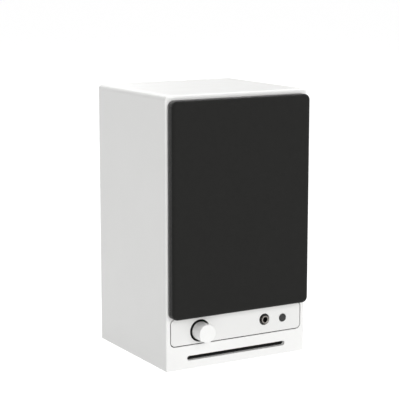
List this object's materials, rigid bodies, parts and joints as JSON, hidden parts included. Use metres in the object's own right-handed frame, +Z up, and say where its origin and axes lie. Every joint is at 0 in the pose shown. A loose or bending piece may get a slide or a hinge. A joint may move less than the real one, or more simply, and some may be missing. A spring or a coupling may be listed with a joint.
{
  "type": "bookshelf speaker",
  "caption": "Powered box speaker: white cabinet, black cloth grille, front volume knob, headphone socket and slot port, amplifier sockets and antenna on the back.",
  "frame": {"origin": "centre of the base pad's underside, where the speaker stands", "axes": "+Z up, -Y towards the listener (the grille side), +X to the listener's right"},
  "size_m": [0.107, 0.1259, 0.1805],
  "materials": {
    "cabinet_paint": "satin white paint on fibreboard",
    "black_plastic": "fine-grained moulded",
    "pad_rubber": "matte",
    "grille_fabric": "fine woven black cloth",
    "nickel": "nickel plate",
    "black_steel": "black powder coat",
    "woven_cone": "woven aramid fibre, resin coated",
    "dust_cap_paper": "pressed paper",
    "copper": "enamelled copper wire",
    "spider_cloth": "corrugated resin-treated cloth",
    "plated_steel": "zinc plate",
    "ferrite": "sintered ferrite",
    "white_plastic": "satin white",
    "grey_plastic": "satin dark grey",
    "circuit_board": "green solder mask",
    "gold": "gold plate",
    "red_plastic": "translucent red",
    "aluminium": "extruded",
    "wire_insulation": "red sleeve"
  },
  "bodies": {
    "cabinet": {"left_side_panel": "cabinet_paint", "right_side_panel": "cabinet_paint", "top_panel": "cabinet_paint", "bottom_panel": "cabinet_paint", "front_baffle": "cabinet_paint", "rear_panel": "cabinet_paint", "port_channel": "black_plastic", "base_pad": "pad_rubber", "baffle_magnets": "nickel", "woofer_basket": "black_steel", "woofer_surround": "pad_rubber", "woofer_spider": "spider_cloth", "woofer_top_plate": "plated_steel", "woofer_magnet": "ferrite", "woofer_yoke": "plated_steel", "woofer_screws": "black_steel", "tweeter_faceplate": "black_plastic", "tweeter_surround": "grille_fabric", "tweeter_magnet": "nickel", "tweeter_cup": "black_steel", "tweeter_screws": "black_steel", "control_panel": "white_plastic", "potentiometer": "black_plastic", "headphone_jack": "black_plastic", "headphone_jack_ring": "nickel", "button_switch": "black_plastic", "control_board": "circuit_board", "amp_plate": "black_steel", "amp_plate_screws": "black_steel", "rca_shells": "nickel", "rca_housings": "black_plastic", "aux_jack": "black_plastic", "usb_port": "nickel", "bass_switch": "black_plastic", "post_bases": "gold", "dc_inlet": "black_plastic", "power_switch": "black_plastic", "antenna_base": "gold", "main_board": "circuit_board", "heat_sink": "aluminium", "capacitors": "black_plastic", "standoffs": "gold", "wiring": "wire_insulation"},
    "grille": {"grille_frame": "black_plastic", "grille_cloth": "grille_fabric", "grille_magnets": "nickel"},
    "knob": {"volume_knob": "white_plastic", "potentiometer_shaft": "plated_steel"},
    "button": {"pairing_button": "grey_plastic"},
    "woofer_moving_part": {"woofer_cone": "woven_cone", "woofer_dust_cap": "dust_cap_paper", "woofer_voice_coil": "copper"},
    "tweeter_moving_part": {"tweeter_dome": "grille_fabric", "tweeter_voice_coil": "copper"},
    "rocker": {"power_rocker": "black_plastic"},
    "bass_slider": {"bass_switch_slider": "black_plastic"},
    "red_nut": {"post_nut_red": "red_plastic"},
    "black_nut": {"post_nut_black": "black_plastic"},
    "antenna_swivel_part": {"antenna_knuckle": "black_plastic"},
    "antenna_rod": {"antenna_whip": "black_plastic"}
  },
  "joints": [
    {"name": "grille_pull", "type": "slide", "parent": "cabinet", "child": "grille", "axis": [0, -1, 0], "range_m": [0, 0.06]},
    {"name": "volume_turn", "type": "hinge", "parent": "cabinet", "child": "knob", "pos_m": [-0.0283, -0.048, 0.0255], "axis": [0, -1, 0], "range_deg": [-150, 150]},
    {"name": "pairing_press", "type": "slide", "parent": "cabinet", "child": "button", "axis": [0, 1, 0], "range_m": [0, 0.0005], "stiffness_N_per_m": 2000},
    {"name": "woofer_stroke", "type": "slide", "parent": "cabinet", "child": "woofer_moving_part", "axis": [0, 1, 0], "range_m": [-0.003, 0.003], "stiffness_N_per_m": 1700, "deforming": ["woofer_surround", "woofer_spider"]},
    {"name": "tweeter_stroke", "type": "slide", "parent": "cabinet", "child": "tweeter_moving_part", "axis": [0, 1, 0], "range_m": [-0.0003, 0.0003], "stiffness_N_per_m": 3000, "deforming": ["tweeter_surround"]},
    {"name": "power_tip", "type": "hinge", "parent": "cabinet", "child": "rocker", "pos_m": [0.022, 0.048, 0.043], "axis": [-1, 0, 0], "range_deg": [0, 18]},
    {"name": "bass_slide", "type": "slide", "parent": "cabinet", "child": "bass_slider", "axis": [1, 0, 0], "range_m": [0, 0.0038]},
    {"name": "red_nut_turn", "type": "hinge", "parent": "cabinet", "child": "red_nut", "pos_m": [0.0095, 0.048, 0.071], "axis": [0, 1, 0], "range_deg": [0, 720]},
    {"name": "black_nut_turn", "type": "hinge", "parent": "cabinet", "child": "black_nut", "pos_m": [-0.0095, 0.048, 0.071], "axis": [0, 1, 0], "range_deg": [0, 720]},
    {"name": "antenna_swivel", "type": "hinge", "parent": "cabinet", "child": "antenna_swivel_part", "pos_m": [0.03, 0.048, 0.147], "axis": [0, 1, 0], "range_deg": [-170, 170]},
    {"name": "antenna_tilt", "type": "hinge", "parent": "antenna_swivel_part", "child": "antenna_rod", "pos_m": [0.03, 0.064, 0.147], "axis": [1, 0, 0], "range_deg": [0, 90]}
  ]
}
